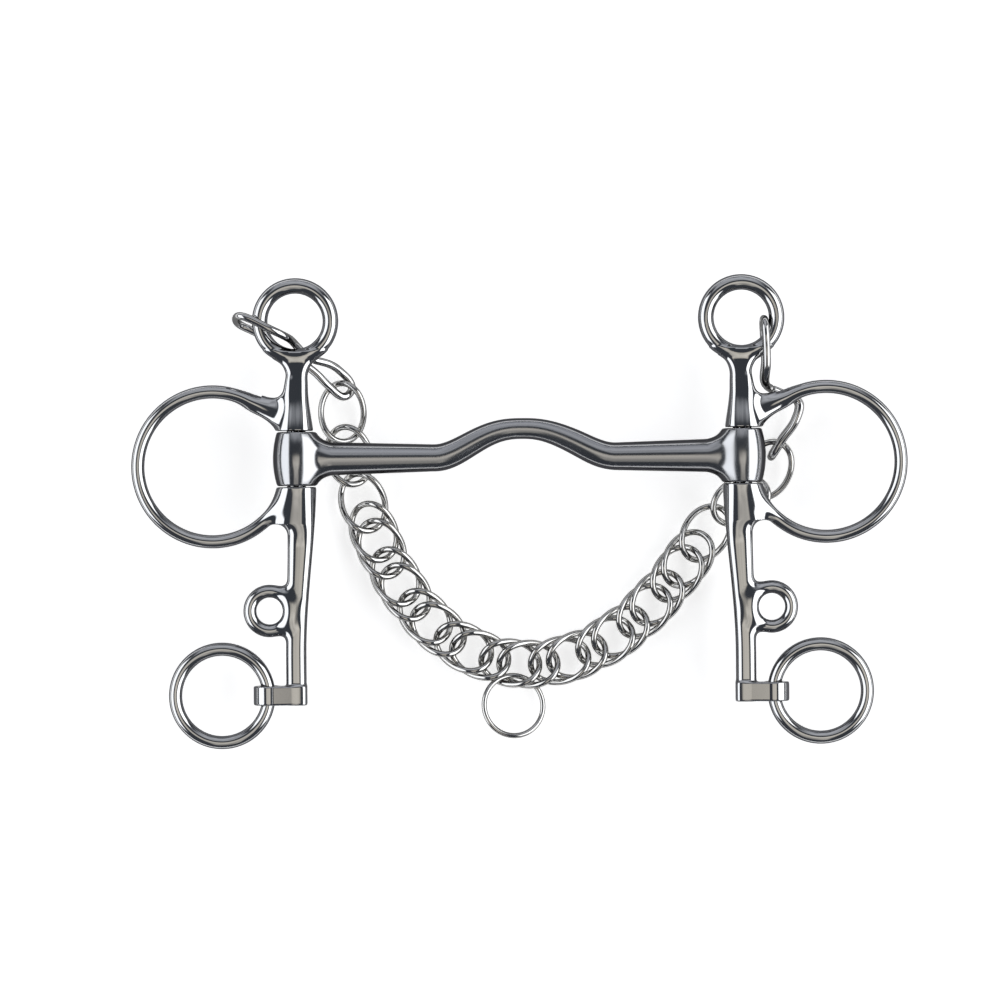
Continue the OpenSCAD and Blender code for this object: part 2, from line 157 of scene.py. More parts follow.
BOSS_H = 17.0
BOSS_R = 6.1
BOSS_SWELL = 1.28
BOSS_SIDE_R = (BOSS_H**2 / 4 + BOSS_SWELL**2) / (2 * BOSS_SWELL)
BOSS_BLEND = 2.2
BOSS_INWARD = 14
END_EDGE = 0.55
SPINDLE_R = 2.9
SPINDLE_HOLE_R = 3.15
SPINDLE_HOLE_EDGE = 0.2
BAR_HALF = 63.5
BAR_D = 10.7
BAR_STOP = 1
SHOULDER_D = 8.6
FLARE_FROM = 5
FLARE_TO = 3
FLARE_STEP = 0.5
FLARE_DIP = 0.6
FLARE_POWER = 2.6
PORT_D = 6.6
PORT_H = 9.0
PORT_FULL = 1.35
PORT_HALF = 27.5
PORT_RIGHT_MORE = 2.2
PORT_RIGHT_X = 20
PORT_SHIFT = 0.8
SLOPE_STEP = 0.1

# ---- sizes of a cheek: its upright and eye ----

# ROOT is the width at the boss and NECK the width under the eye, each IN toward the bar
# or OUT toward the side ring. A change begins a _RUN inside the cheek's end and is done
# at the height _Y.

CHEEK_GAP = 0.3
CHEEK_END = BOSS_H / 2 + CHEEK_GAP
CHEEK_STEP = 0.3
ROOT_IN = BOSS_R - 0.4
ROOT_OUT = 5.4
ROOT_IN_RUN = 4
ROOT_OUT_RUN = 3
ROOT_DEEP_RUN = 2
NECK_W = 6.8
NECK_IN = NECK_W * 0.57
NECK_OUT = NECK_W * 0.43
NECK_IN_Y = 22
NECK_OUT_Y = 18
NECK_LEAN = 0.5
NECK_LEAN_Y = 34
UPRIGHT_THIN_Y = 33
UPRIGHT_EASE_Y = 21
UPRIGHT_EASE = 0.4
UPRIGHT_POWER = 2.8
EYE_Y = 43.4
EYE_R = 11.15
EYE_WIRE = 2.48
EYE_BLEND = 1.0
EYE_COVER = 1.6
EYE_COVER_EDGE = 0.3
EYE_INSIDE = EYE_R - EYE_WIRE * 0.6
EYE_INSIDE_EDGE = 0.4
EYE_OUTSIDE = EYE_R + EYE_WIRE * 0.8
FORK_R = 8.0
FORK_Y = EYE_Y - chord(EYE_R + EYE_WIRE + FORK_R, NECK_W / 2 + FORK_R)
FORK_TOP = mix(EYE_Y, FORK_Y, (EYE_R + EYE_WIRE) / (EYE_R + EYE_WIRE + FORK_R))

# ---- sizes of a cheek: side ring, arms and web ----

# The ring becomes an arm over the degrees of ARM_TURN: there its middle line lifts
# outward, and its depth and width change by these shares. The fillet is the round corner
# of upright and upper arm, which the web fills, and the crotch the one under the ring.

SIDE_X = 26.35
SIDE_Y = -2.2
SIDE_R = 23.6
SIDE_WIRE = 2.1
SIDE_BLEND = 2.0
ARM_LIFT_TOP = 2.7
ARM_LIFT_LOW = 0.6
ARM_TURN_TOP = (118, 151)
ARM_TURN_LOW = (125, 163)
ARM_DEEP_TOP = -0.45
ARM_DEEP_LOW = 0.3
ARM_WIDE = 0.15
FILLET_R = 5.0
FILLET_INSET = 0.35
FILLET_LIFT = ARM_LIFT_TOP * 0.6
FILLET_X = NECK_OUT + FILLET_R - FILLET_INSET
FILLET_REACH = SIDE_R + FILLET_LIFT + SIDE_WIRE + FILLET_R
FILLET_Y = SIDE_Y + chord(FILLET_REACH, SIDE_X - FILLET_X)
CROTCH_R = FILLET_R * 0.75
CROTCH_IN = 3
CROTCH_X = CROTCH_IN + CROTCH_R
CROTCH_Y = SIDE_Y - chord(SIDE_R + SIDE_WIRE + CROTCH_R, SIDE_X - CROTCH_X)
WEB_SLOPE = 0.31
WEB_STEEP = 0.95
WEB_DEEP = 0.9
WEB_TAIL = 3.2
WEB_IN_X = 2.6
WEB_IN_EDGE = 2
WEB_HIGH_EDGE = 3
WEB_ARM_EDGE = 0.5
WEB_TOP_EDGE = 1.4
WEB_BLEND = 3.4

# ---- sizes of a cheek: shank, strap loop and foot ----

# The foot is a wedge that grows from the shank's thickness to the drilled barrel.

SHANK_T = 5.8
SHANK_W = 6.2
SHANK_IN = SHANK_W * 0.43
SHANK_IN_ROOT = BOSS_R + 0.2
SHANK_IN_Y = 62
SHANK_DEEP_Y = 28
SHANK_LEAN = 0.8
SHANK_LEAN_RUN = 40
SHANK_POWER = 2.6
SHANK_END_GAP = 0.2
SHANK_END_EDGE = 0.5
SHANK_BLEND = 3.2
SHANK_LEN = 77.4
FOOT_H = 6.1
FOOT_INSET = 0.1
FOOT_STEEP = 0.98
FOOT_IN_EDGE = 1.2
FOOT_OUT_EDGE = 0.2
FOOT_END_EDGE = 0.6
FOOT_BLEND = 0.8
BARREL_X = 9.3
BARREL_R = 4.8
BARREL_HOLE_R = 2.55
BARREL_HOLE_EDGE = 0.5
BARREL_REACH = 12
STRAP_X = 8.8
STRAP_Y = -47.75
STRAP_R = 6.2
STRAP_WIRE = 2.1
STRAP_HOLE_R = 4.25
STRAP_HOLE_OVER = 0.1
STRAP_HOLE_EDGE = 0.25
STRAP_BLEND = 3.6
NEAR_BOSS = SIDE_X - 12
SPINDLE_DEPTH = 2

# ---- sizes of rings, chain and hooks ----

REIN_R = 14.698
REIN_WIRE = 2.1
FLY_R = 9.6
FLY_WIRE = 0.85
FLY_CUT_DEG = 48.0
FLY_CUT_HALF_DEG = 1.2
FLY_LEAN = (-9.9, 13.5, 0.0)
HOOK_WIRE = 1.28
RING_A = 9.3
RING_B = 6.8
RING_TWIST = 2.4
RING_TWIST_END = 1.4
RING_WIRE = 0.975

# ---- the mouthpiece ----


def port_line(x):
    """Height of the bar's middle line: the slope on the right is a little longer."""
    half = mix(PORT_HALF, PORT_HALF + PORT_RIGHT_MORE, ramp(x, 0, PORT_RIGHT_X))
    return PORT_H * (1 - ramp(np.abs(x - PORT_SHIFT) / half, 0, 1) ** PORT_FULL)


def mouthpiece_field(p):
    """Bar along the port line, thickest at the bosses, with both bosses drilled."""
    x, y, z = p[0], p[1] - BIT_Y, p[2] - BIT_Z
    a = np.abs(x)
    slope = (port_line(x + SLOPE_STEP) - port_line(x - SLOPE_STEP)) / (2 * SLOPE_STEP)
    thick = mix(PORT_D, SHOULDER_D, ramp(np.abs(x - PORT_SHIFT), 0, PORT_HALF))
    taper = np.clip((a - PORT_HALF) / (BAR_HALF - PORT_HALF), 0, 1)
    thick = mix(thick, BAR_D, taper) / 2
    flare = ramp(a, BAR_HALF - FLARE_FROM, BOSS_X - FLARE_TO)
    high = mix(thick, BOSS_H / 2 - FLARE_STEP, flare) * np.sqrt(1 + slope**2)
    deep = mix(thick, BOSS_R - FLARE_DIP, flare)
    bar = oval(y - port_line(x), z, high, deep, mix(ROUND, FLARE_POWER, flare))
    bar = cut(bar, a - BOSS_X + BAR_STOP, BAR_STOP)
    swell = chord(BOSS_SIDE_R, np.minimum(np.abs(y), BOSS_H))
    boss = np.hypot(a - BOSS_X, z) - (BOSS_R + BOSS_SWELL - BOSS_SIDE_R + swell)
    whole = join(bar, boss, BOSS_BLEND)
    ended = cut(whole, np.abs(y) - BOSS_H / 2, END_EDGE)
    whole = np.where(a > BAR_HALF - BOSS_INWARD, ended, whole)
    return cut(whole, SPINDLE_HOLE_R - np.hypot(a - BOSS_X, z), SPINDLE_HOLE_EDGE)


# ---- a cheek, drawn for the right side with the boss centre as origin ----


def fork_half(y):
    """How much the upright widens on each side on its way into the eye."""
    below = FORK_R - chord(FORK_R, np.maximum(0, y - FORK_Y))
    above = chord(EYE_OUTSIDE, EYE_Y - y) - NECK_W / 2
    return np.where(y < FORK_TOP, below, above)


def side_ring_line(dx, dy):
    """Radius of the side ring's middle line, and how far it has become an arm."""
    turn = np.degrees(np.abs(np.arctan2(dy, dx)))
    t = np.where(dy > 0, ramp(turn, *ARM_TURN_TOP), ramp(turn, *ARM_TURN_LOW))
    return SIDE_R + t * np.where(dy > 0, ARM_LIFT_TOP, ARM_LIFT_LOW), t


def side_ring_field(x, y, z):
    """The side ring with its two arms, which are flatter above and deeper below."""
    dx, dy = x - SIDE_X, y - SIDE_Y
    r, t = side_ring_line(dx, dy)
    deep = SIDE_WIRE * (1 + t * np.where(dy > 0, ARM_DEEP_TOP, ARM_DEEP_LOW))
    return oval(np.hypot(dx, dy) - r, z, SIDE_WIRE * (1 + ARM_WIDE * t), deep, ROUND)


def upright_depth(y):
    """Half depth of the upright: its flat front falls from the boss to the eye."""
    fall = np.clip((y - CHEEK_END) / (UPRIGHT_THIN_Y - CHEEK_END), 0, 1)
    ease = ramp(y, CHEEK_END - ROOT_DEEP_RUN, UPRIGHT_EASE_Y)
    return mix(BOSS_R - CHEEK_STEP, EYE_WIRE, mix(fall, ease, UPRIGHT_EASE))


def upright_field(x, y, z):
    """From the boss to the fork that holds the eye, with the eye's opening kept free."""
    root = 1 - ramp(y, CHEEK_END - ROOT_IN_RUN, NECK_IN_Y)
    inner = mix(-NECK_IN, -ROOT_IN, root) + NECK_LEAN * ramp(y, NECK_IN_Y, NECK_LEAN_Y)
    outer = mix(NECK_OUT, ROOT_OUT, 1 - ramp(y, CHEEK_END - ROOT_OUT_RUN, NECK_OUT_Y))
    inner, outer = inner - fork_half(y), outer + fork_half(y)
    half = np.maximum(outer - inner, 1) / 2
    bar = oval(x - (inner + outer) / 2, z, half, upright_depth(y), UPRIGHT_POWER)
    bar = cut(bar, y - (EYE_Y - EYE_R + EYE_COVER), EYE_COVER_EDGE)
    return cut(bar, EYE_INSIDE - np.hypot(x, y - EYE_Y), EYE_INSIDE_EDGE)


def web_field(x, y, z):
    """Plate in the corner of upright and arm: it slopes away from the upright."""
    away = np.hypot(x - SIDE_X, y - SIDE_Y) - side_ring_line(x - SIDE_X, y - SIDE_Y)[0]
    edge = FILLET_R - np.hypot(x - FILLET_X, y - FILLET_Y)
    tail = np.maximum(edge, away - SIDE_WIRE)
    edge = np.where(x > FILLET_X + WEB_TAIL, tail, edge)
    edge = cut(edge, y - FILLET_Y, WEB_HIGH_EDGE)
    edge = cut(edge, -SIDE_WIRE - away, WEB_ARM_EDGE)
    edge = cut(edge, WEB_IN_X - x, WEB_IN_EDGE)
    top = np.abs(z) - upright_depth(y) * WEB_DEEP + WEB_SLOPE * x
    return cut(edge, top * WEB_STEEP, WEB_TOP_EDGE)


def shank_field(x, y, z):
    """From the boss down to the foot, wider where the side ring's lower arm joins it."""
    inner = mix(-SHANK_IN_ROOT, -SHANK_IN, ramp(-y, CHEEK_END - ROOT_IN_RUN, SHANK_IN_Y))
    stop = CROTCH_Y + CROTCH_R
    root = mix(ROOT_OUT, CROTCH_X, (CHEEK_END + y) / (CHEEK_END + stop))
    lean = SHANK_LEAN * ramp(CROTCH_Y - y, 0, SHANK_LEAN_RUN)
    outer = CROTCH_X - chord(CROTCH_R, np.maximum(0, y - CROTCH_Y)) + lean
    outer = np.where(y > stop, root, outer)
    thin = ramp(-y, CHEEK_END - ROOT_DEEP_RUN, SHANK_DEEP_Y)
    deep = mix(BOSS_R - CHEEK_STEP, SHANK_T / 2, thin)
    bar = oval(x - (inner + outer) / 2, z, (outer - inner) / 2, deep, SHANK_POWER)
    return cut(bar, -y - SHANK_LEN + SHANK_END_GAP, SHANK_END_EDGE)


def foot_field(x, y, z):
    """Wedge from the shank to the barrel that the rein ring passes through."""
    along = np.clip((x + SHANK_IN) / (BARREL_X + SHANK_IN), 0, 1)
    wedge = (np.abs(z) - mix(SHANK_T / 2 - FOOT_INSET, BARREL_R, along)) * FOOT_STEEP
    wedge = cut(wedge, -SHANK_IN - x, FOOT_IN_EDGE)
    wedge = cut(wedge, x - BARREL_X, FOOT_OUT_EDGE)
    barrel = np.hypot(x - BARREL_X, z) - BARREL_R
    ends = np.abs(y + SHANK_LEN - FOOT_H / 2) - FOOT_H / 2
    return cut(np.minimum(wedge, barrel), ends, FOOT_END_EDGE)


def upper_cheek(p, ring):
    """Upright, eye, side ring and web."""
    x, y, z = p
    upper = join(upright_field(x, y, z), torus(p, 0, EYE_Y, EYE_R, EYE_WIRE), EYE_BLEND)
    return join(join(upper, ring, SIDE_BLEND), web_field(x, y, z), WEB_BLEND)


def lower_cheek(p, ring):
    """Shank, side ring, strap loop and foot, with their holes."""
    x, y, z = p
    lower = join(shank_field(x, y, z), ring, SHANK_BLEND)
    lower = join(lower, torus(p, STRAP_X, STRAP_Y, STRAP_R, STRAP_WIRE), STRAP_BLEND)
    strap_hole = STRAP_HOLE_R - STRAP_HOLE_OVER - np.hypot(x - STRAP_X, y - STRAP_Y)
    lower = cut(lower, strap_hole, STRAP_HOLE_EDGE)
    lower = join(lower, foot_field(x, y, z), FOOT_BLEND)
    drilled = cut(lower, BARREL_HOLE_R - np.hypot(x - BARREL_X, z), BARREL_HOLE_EDGE)
    return np.where(y < STRAP_Y - BARREL_REACH, drilled, lower)


def cheek_field(p):
    """Both halves end at the boss; the side ring and the spindle hold them together."""
    x, y, z = p
    ring = side_ring_field(x, y, z)
    upper, lower = upper_cheek(p, ring), lower_cheek(p, ring)
    near = x < NEAR_BOSS
    upper = np.where(near, cut(upper, CHEEK_END - y, END_EDGE), upper)
    lower = np.where(near, cut(lower, CHEEK_END + y, END_EDGE), lower)
    body = np.where(y > SIDE_Y, upper, lower)
    body = np.where(near & (np.abs(y) < CHEEK_END), np.minimum(upper, lower), body)
    spindle_ends = np.abs(y) - CHEEK_END - SPINDLE_DEPTH
    return np.minimum(body, np.maximum(np.hypot(x, z) - SPINDLE_R, spindle_ends))


# ---- surface of a field ----

CELL = 0.4
CHUNK = 16
GRADIENT_STEP = 0.02
SETTLE_ROUNDS = 5
FLATTEST = 0.2  # least squared slope that a step divides by
HALVES = (slice(0, -1), slice(1, None))  # all grid points but the last, or the first


def sample(field, axes):
    """Field values on a grid, a few planes at a time."""
    values = np.empty([len(a) for a in axes], np.float32)
    for start in range(0, len(axes[0]), CHUNK):
        grid = np.meshgrid(axes[0][start : start + CHUNK], axes[1], axes[2], indexing="ij")
        values[start : start + CHUNK] = field(grid)
    return values


def gradient(field, verts):
    grad = np.empty_like(verts)
    for axis in range(3):
        up, down = [
            [verts[:, i] + sign * GRADIENT_STEP * (i == axis) for i in range(3)] for sign in (1, -1)
        ]
        grad[:, axis] = (field(up) - field(down)) / (2 * GRADIENT_STEP)
    return grad


def net_points(values):
    """One point in each cell that the surface crosses: its index, and its place in cells."""
    shape = np.array(values.shape) - 1
    hits = np.zeros(shape, np.float32)
    sums = np.zeros((3, *shape), np.float32)
    for axis in range(3):
        others = [i for i in range(3) if i != axis]
        for u in (0, 1):
            for v in (0, 1):
                one, two = [None] * 3, [None] * 3
                one[axis], two[axis] = HALVES
                one[others[0]] = two[others[0]] = HALVES[u]
                one[others[1]] = two[others[1]] = HALVES[v]
                a, b = values[tuple(one)], values[tuple(two)]
                crossed = (a < 0) != (b < 0)
                hits += crossed
                sums[axis] += np.where(crossed, a / np.where(crossed, a - b, 1), 0)
                sums[others[0]] += crossed * u
                sums[others[1]] += crossed * v
    active = hits > 0
    index = np.full(shape, -1)
    index[active] = np.arange(active.sum())
    return index, np.argwhere(active) + (sums[:, active] / hits[active]).T


def net_faces(inside, index):
    """A quad round each grid edge that the surface crosses, facing outward."""
    faces = []
    for axis in range(3):
        others = [i for i in range(3) if i != axis]
        one = [slice(1, -1)] * 3
        two = list(one)
        one[axis], two[axis] = HALVES
        at = np.argwhere(inside[tuple(one)] != inside[tuple(two)])
        turned = inside[tuple(one)][tuple(at.T)] != (axis == 1)
        quad = []
        for u, v in ((0, 0), (1, 0), (1, 1), (0, 1)):
            corner = at.copy()
            corner[:, others[0]] += u
            corner[:, others[1]] += v
            quad.append(index[tuple(corner.T)])
        quad = np.stack(quad, 1)
        quad[~turned] = quad[~turned][:, ::-1]
        faces.append(quad)
    return np.concatenate(faces)


def surface(field, low, high):
    """Vertices, quads and normals of the zero surface: surface nets, settled on it."""
    axes = [np.arange(low[i], high[i] + CELL, CELL) for i in range(3)]
    values = sample(field, axes)
    index, places = net_points(values)
    faces = net_faces(values < 0, index)
    verts = np.array([a[0] for a in axes]) + CELL * places
    for _ in range(SETTLE_ROUNDS):
        grad = gradient(field, verts)
        value = field([verts[:, i] for i in range(3)])
        move = -(value / np.maximum((grad**2).sum(1), FLATTEST))[:, None] * grad
        verts += np.clip(move, -CELL / 3, CELL / 3)
    normals = gradient(field, verts)
    normals /= np.maximum(np.linalg.norm(normals, axis=1), NO_ZERO)[:, None]
    return verts, faces, normals


# ---- meshes ----

# rings that round a wire's cut ends: depth as a share of the wire, steps of it, radii
CAP_DEPTH = 0.3
CAP_STEPS = (0.55, 0.9, 1, 1)
CAP_RADII = (0.94, 0.84, 0.72, 0.02)


def make_piece(name, verts, faces, material, node, normals=None):
    """A mesh in place of one node of the frame, riding the node's body."""
    mesh = bpy.data.meshes.new(name)
    mesh.from_pydata((np.asarray(verts) * MM).tolist(), [], np.asarray(faces).tolist())
    mesh.materials.append(MATERIALS[material])
    mesh.polygons.foreach_set("use_smooth", [True] * len(mesh.polygons))
    if normals is not None:
        mesh.normals_split_custom_set_from_vertices(normals.tolist())
    piece = bpy.data.objects.new(name, mesh)
    bpy.context.scene.collection.objects.link(piece)
    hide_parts(node)
    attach(piece, node)
    return piece


def wire_directions(tangent, first):
    """One direction across the wire at each point: level, or carried along from first."""
    if first is None:
        normal = np.cross(tangent, [0, 0, 1.0])
        return normal / np.linalg.norm(normal, axis=1)[:, None]
    normal = np.empty_like(tangent)
    u = np.array(first, float)
    for i, along in enumerate(tangent):
        u = u - along * (u @ along)
        u /= np.linalg.norm(u)
        normal[i] = u
    return normal


def capped(points, tangent, normal, other, wire):
    """The line and its directions with rings added that close its cut ends."""
    steps = [wire * CAP_DEPTH * k for k in CAP_STEPS]
    before = [points[0] - tangent[0] * step for step in steps]
    after = [points[-1] + tangent[-1] * step for step in steps]
    points = np.concatenate([before[::-1], points, after])
    caps = len(CAP_STEPS)
    normal = np.concatenate([normal[:1]] * caps + [normal] + [normal[-1:]] * caps)
    other = np.concatenate([other[:1]] * caps + [other] + [other[-1:]] * caps)
    shrink = wire * np.array(CAP_RADII)
    radii = np.concatenate([shrink[::-1], np.full(len(points) - 2 * caps, wire), shrink])
    return points, normal, other, radii


def tube(points, wire, sides, first=None):
    """Round wire along points: closed without a first normal, else open with cut ends."""
    points = np.asarray(points, float)
    closed = first is None
    if closed:
        tangent = np.roll(points, -1, 0) - np.roll(points, 1, 0)
    else:
        tangent = np.gradient(points, axis=0)
    tangent /= np.linalg.norm(tangent, axis=1)[:, None]
    normal = wire_directions(tangent, first)
    other = np.cross(tangent, normal)
    radii = np.full(len(points), wire)
    if not closed:
        points, normal, other, radii = capped(points, tangent, normal, other, wire)
    n = len(points)
    angle = (2 * np.pi * np.arange(sides) / sides)[None, :, None]
    spokes = np.cos(angle) * normal[:, None] + np.sin(angle) * other[:, None]
    verts = (points[:, None] + radii[:, None, None] * spokes).reshape(-1, 3)
    i = np.arange(n if closed else n - 1)[:, None] * sides
    j = np.arange(sides)[None]
    k = (j + 1) % sides
    nxt = (i + sides) % (n * sides)
    faces = np.stack([i + j, nxt + j, nxt + k, i + k], 2).reshape(-1, 4)
    return verts, faces


def circle_points(centre, u, v, r, a0, a1, n, closed):
    """Points of an arc from a0 to a1 degrees, in the plane of u and v."""
    a = np.radians(np.linspace(a0, a1, n, endpoint=not closed))[:, None]
    return np.asarray(centre) + r * (np.cos(a) * u + np.sin(a) * v)


# ---- materials ----

# The object's coordinates that the noises use are in metres, and so is the marks' depth.
MARK_DETAIL = 3.0
MARK_DEPTH = 0.00001
CLOUD_SCALE = 60.0
CLOUD_DETAIL = 2.0
CLOUD_RANGE = (0.35, 0.65)
GLOSS_RANGE = (0.85, 1.25)
TINT_DROP = 0.95
FLANK_SHADE_RANGE = (0.60, 0.73)  # upward share of the normal: painted shade on the flanks below, full colour on the tops above
RIM_TINT = 0.45


def steel(name, colour, gloss, scratch, grain, flank_shade_colour):
    """Polished steel: colour and gloss drift a little, fine marks, and painted shade that darkens
    the base colour on the flanks.
    """
    material = bpy.data.materials.new(name)
    material.use_nodes = True
    nodes, links = material.node_tree.nodes, material.node_tree.links
    shader = nodes["Principled BSDF"]
    shader.inputs["Metallic"].default_value = 1.0
    place = nodes.new("ShaderNodeTexCoord")
    stretch = nodes.new("ShaderNodeMapping")
    stretch.inputs["Scale"].default_value = grain
    marks = nodes.new("ShaderNodeTexNoise")
    marks.inputs["Scale"].default_value = 1.0
    marks.inputs["Detail"].default_value = MARK_DETAIL
    cloud = nodes.new("ShaderNodeTexNoise")
    cloud.inputs["Scale"].default_value = CLOUD_SCALE
    cloud.inputs["Detail"].default_value = CLOUD_DETAIL
    shine = nodes.new("ShaderNodeMapRange")
    shine.inputs["From Min"].default_value = CLOUD_RANGE[0]
    shine.inputs["From Max"].default_value = CLOUD_RANGE[1]
    shine.inputs["To Min"].default_value = gloss * GLOSS_RANGE[0]
    shine.inputs["To Max"].default_value = gloss * GLOSS_RANGE[1]
    tint = nodes.new("ShaderNodeMix")
    tint.data_type = "RGBA"
    tint.inputs["A"].default_value = (*[c * TINT_DROP for c in colour], 1)
    tint.inputs["B"].default_value = (*colour, 1)
    # Painted shade: the base colour falls to the flank colour where the normal leans more than
    # about 45 degrees from straight up, so the sides of every wire and bar render dark from any
    # view.
    split = nodes.new("ShaderNodeSeparateXYZ")
    size = nodes.new("ShaderNodeMath")
    size.operation = "ABSOLUTE"
    edge = nodes.new("ShaderNodeMapRange")
    edge.interpolation_type = "SMOOTHSTEP"
    edge.inputs["From Min"].default_value = FLANK_SHADE_RANGE[0]
    edge.inputs["From Max"].default_value = FLANK_SHADE_RANGE[1]
    edge.inputs["To Min"].default_value = 1.0
    edge.inputs["To Max"].default_value = 0.0
    shade = nodes.new("ShaderNodeMix")
    shade.data_type = "RGBA"
    shade.inputs["B"].default_value = (*flank_shade_colour, 1)
    shader.inputs["Specular Tint"].default_value = (RIM_TINT, RIM_TINT, RIM_TINT, 1)
    bump = nodes.new("ShaderNodeBump")
    bump.inputs["Strength"].default_value = scratch
    bump.inputs["Distance"].default_value = MARK_DEPTH
    links.new(place.outputs["Object"], stretch.inputs["Vector"])
    links.new(stretch.outputs["Vector"], marks.inputs["Vector"])
    links.new(place.outputs["Object"], cloud.inputs["Vector"])
    links.new(cloud.outputs["Fac"], shine.inputs["Value"])
    links.new(cloud.outputs["Fac"], tint.inputs["Factor"])
    links.new(shine.outputs["Result"], shader.inputs["Roughness"])
    links.new(place.outputs["Normal"], split.inputs["Vector"])
    links.new(split.outputs["Z"], size.inputs[0])
    links.new(size.outputs[0], edge.inputs["Value"])
    links.new(edge.outputs["Result"], shade.inputs["Factor"])
    links.new(tint.outputs["Result"], shade.inputs["A"])
    links.new(shade.outputs["Result"], shader.inputs["Base Color"])
    links.new(marks.outputs["Fac"], bump.inputs["Height"])
    links.new(bump.outputs["Normal"], shader.inputs["Normal"])
    return material


# colour, gloss, depth of the marks, grain of the marks along x, y and z, colour of the painted
# shade on the flanks
EVEN_GRAIN = (700, 700, 700)
BAR_GRAIN = (150, 900, 900)
STEELS = {
    "cheek_steel": ((0.80, 0.81, 0.82), 0.07, 0.15, EVEN_GRAIN, (0.105, 0.107, 0.115)),
    "mouthpiece_steel": ((0.66, 0.67, 0.69), 0.16, 0.3, BAR_GRAIN, (0.055, 0.055, 0.06)),
    "hook_steel": ((0.82, 0.82, 0.82), 0.07, 0.15, EVEN_GRAIN, (0.17, 0.17, 0.17)),
    "chain_steel": ((0.82, 0.815, 0.80), 0.08, 0.15, EVEN_GRAIN, (0.20, 0.197, 0.19)),
}
MATERIALS = {name: steel(name, *values) for name, values in STEELS.items()}

# ---- pieces ----

REIN_STEPS, REIN_SIDES = 160, 28
RING_STEPS, RING_SIDES = 96, 16
FLY_STEPS, FLY_SIDES = 150, 16
SINGLE_RINGS = 2  # at each end of the chain

# opposite corners of the boxes that hold the two surfaces, with a margin all round
BAR_LOW = (-BOSS_X - 9, BIT_Y - 10, BIT_Z - 8.5)
BAR_HIGH = (BOSS_X + 9, BIT_Y + 15, BIT_Z + 8.5)
CHEEK_LOW = (-15.5, -SHANK_LEN - 1.5, -8)
CHEEK_HIGH = (54, EYE_Y + 16, 8)


def mouthpiece_piece():
    verts, faces, normals = surface(mouthpiece_field, BAR_LOW, BAR_HIGH)
    make_piece("mouthpiece_polished", verts, faces, "mouthpiece_steel", "mouthpiece", normals)


def cheek_pieces():
    """One surface for both cheeks: the left one is its mirror image."""
    verts, faces, normals = surface(cheek_field, CHEEK_LOW, CHEEK_HIGH)
    for side in ("right", "left"):
        flip = np.array([SIDE[side], 1, 1])
        turned = faces if side == "right" else faces[:, ::-1]
        places = verts * flip + BOSS[side]
        node = side + "_cheek"
        make_piece(node + "_polished", places, turned, "cheek_steel", node, normals * flip)


def rein_rings():
    across, along = np.array([1, 0, 0]), np.array([0, 1, 0])
    for side in ("left", "right"):
        node = side + "_rein_ring"
        centre = joint_place(node + "_swing") + [SIDE[side] * REIN_R, 0, 0]
        points = circle_points(centre, across, along, REIN_R, 0, 360, REIN_STEPS, True)
        make_piece(node + "_polished", *tube(points, REIN_WIRE, REIN_SIDES), "cheek_steel", node)


def node_points(name):
    """Vertices of one of the frame's solids, in the frame's directions."""
    node = frame["nodes"][name]
    flat = np.empty(3 * len(node.data.vertices))
    node.data.vertices.foreach_get("co", flat)
    world = np.array(node.matrix_world)
    return (flat.reshape(-1, 3) @ world[:3, :3].T + world[:3, 3]) / MM


def chain_rings():
    """Twisted oval rings: place and direction from the solids, shape by formula."""
    names = sorted(name for name in frame["nodes"] if name.startswith("chain_ring_"))
    for i, name in enumerate(names):
        cloud = node_points(name)
        centre = (cloud.min(0) + cloud.max(0)) / 2
        centre[:2] = cloud[:, :2].mean(0)
        directions = np.linalg.eigh(np.cov((cloud - centre)[:, :2].T))[1]
        along = np.array([*directions[:, 1], 0.0])
        across = np.array([-along[1], along[0], 0.0])
        at_end = i < SINGLE_RINGS or i > len(names) - 1 - SINGLE_RINGS
        twist = RING_TWIST_END if at_end else RING_TWIST
        a = 2 * np.pi * (np.arange(RING_STEPS) + 0.5)[:, None] / RING_STEPS
        points = centre + RING_A * np.cos(a) * along + RING_B * np.sin(a) * across
        points = points - twist * np.sin(2 * a) * np.array([0, 0, 1.0])
        make_piece(name + "_polished", *tube(points, RING_WIRE, RING_SIDES), "chain_steel", name)


def fly_ring():
    turn = np.array(Euler([math.radians(a) for a in FLY_LEAN]).to_matrix())
    start, stop = FLY_CUT_DEG + FLY_CUT_HALF_DEG, FLY_CUT_DEG + 360 - FLY_CUT_HALF_DEG
    centre = joint_place("fly_ring_turn")
    points = circle_points(centre, turn[:, 0], turn[:, 1], FLY_R, start, stop, FLY_STEPS, False)
    wire = tube(points, FLY_WIRE, FLY_SIDES, turn[:, 2])
    make_piece("fly_ring_polished", *wire, "chain_steel", "fly_ring")


# ---- curb hooks: two strands about a middle line through stations ----

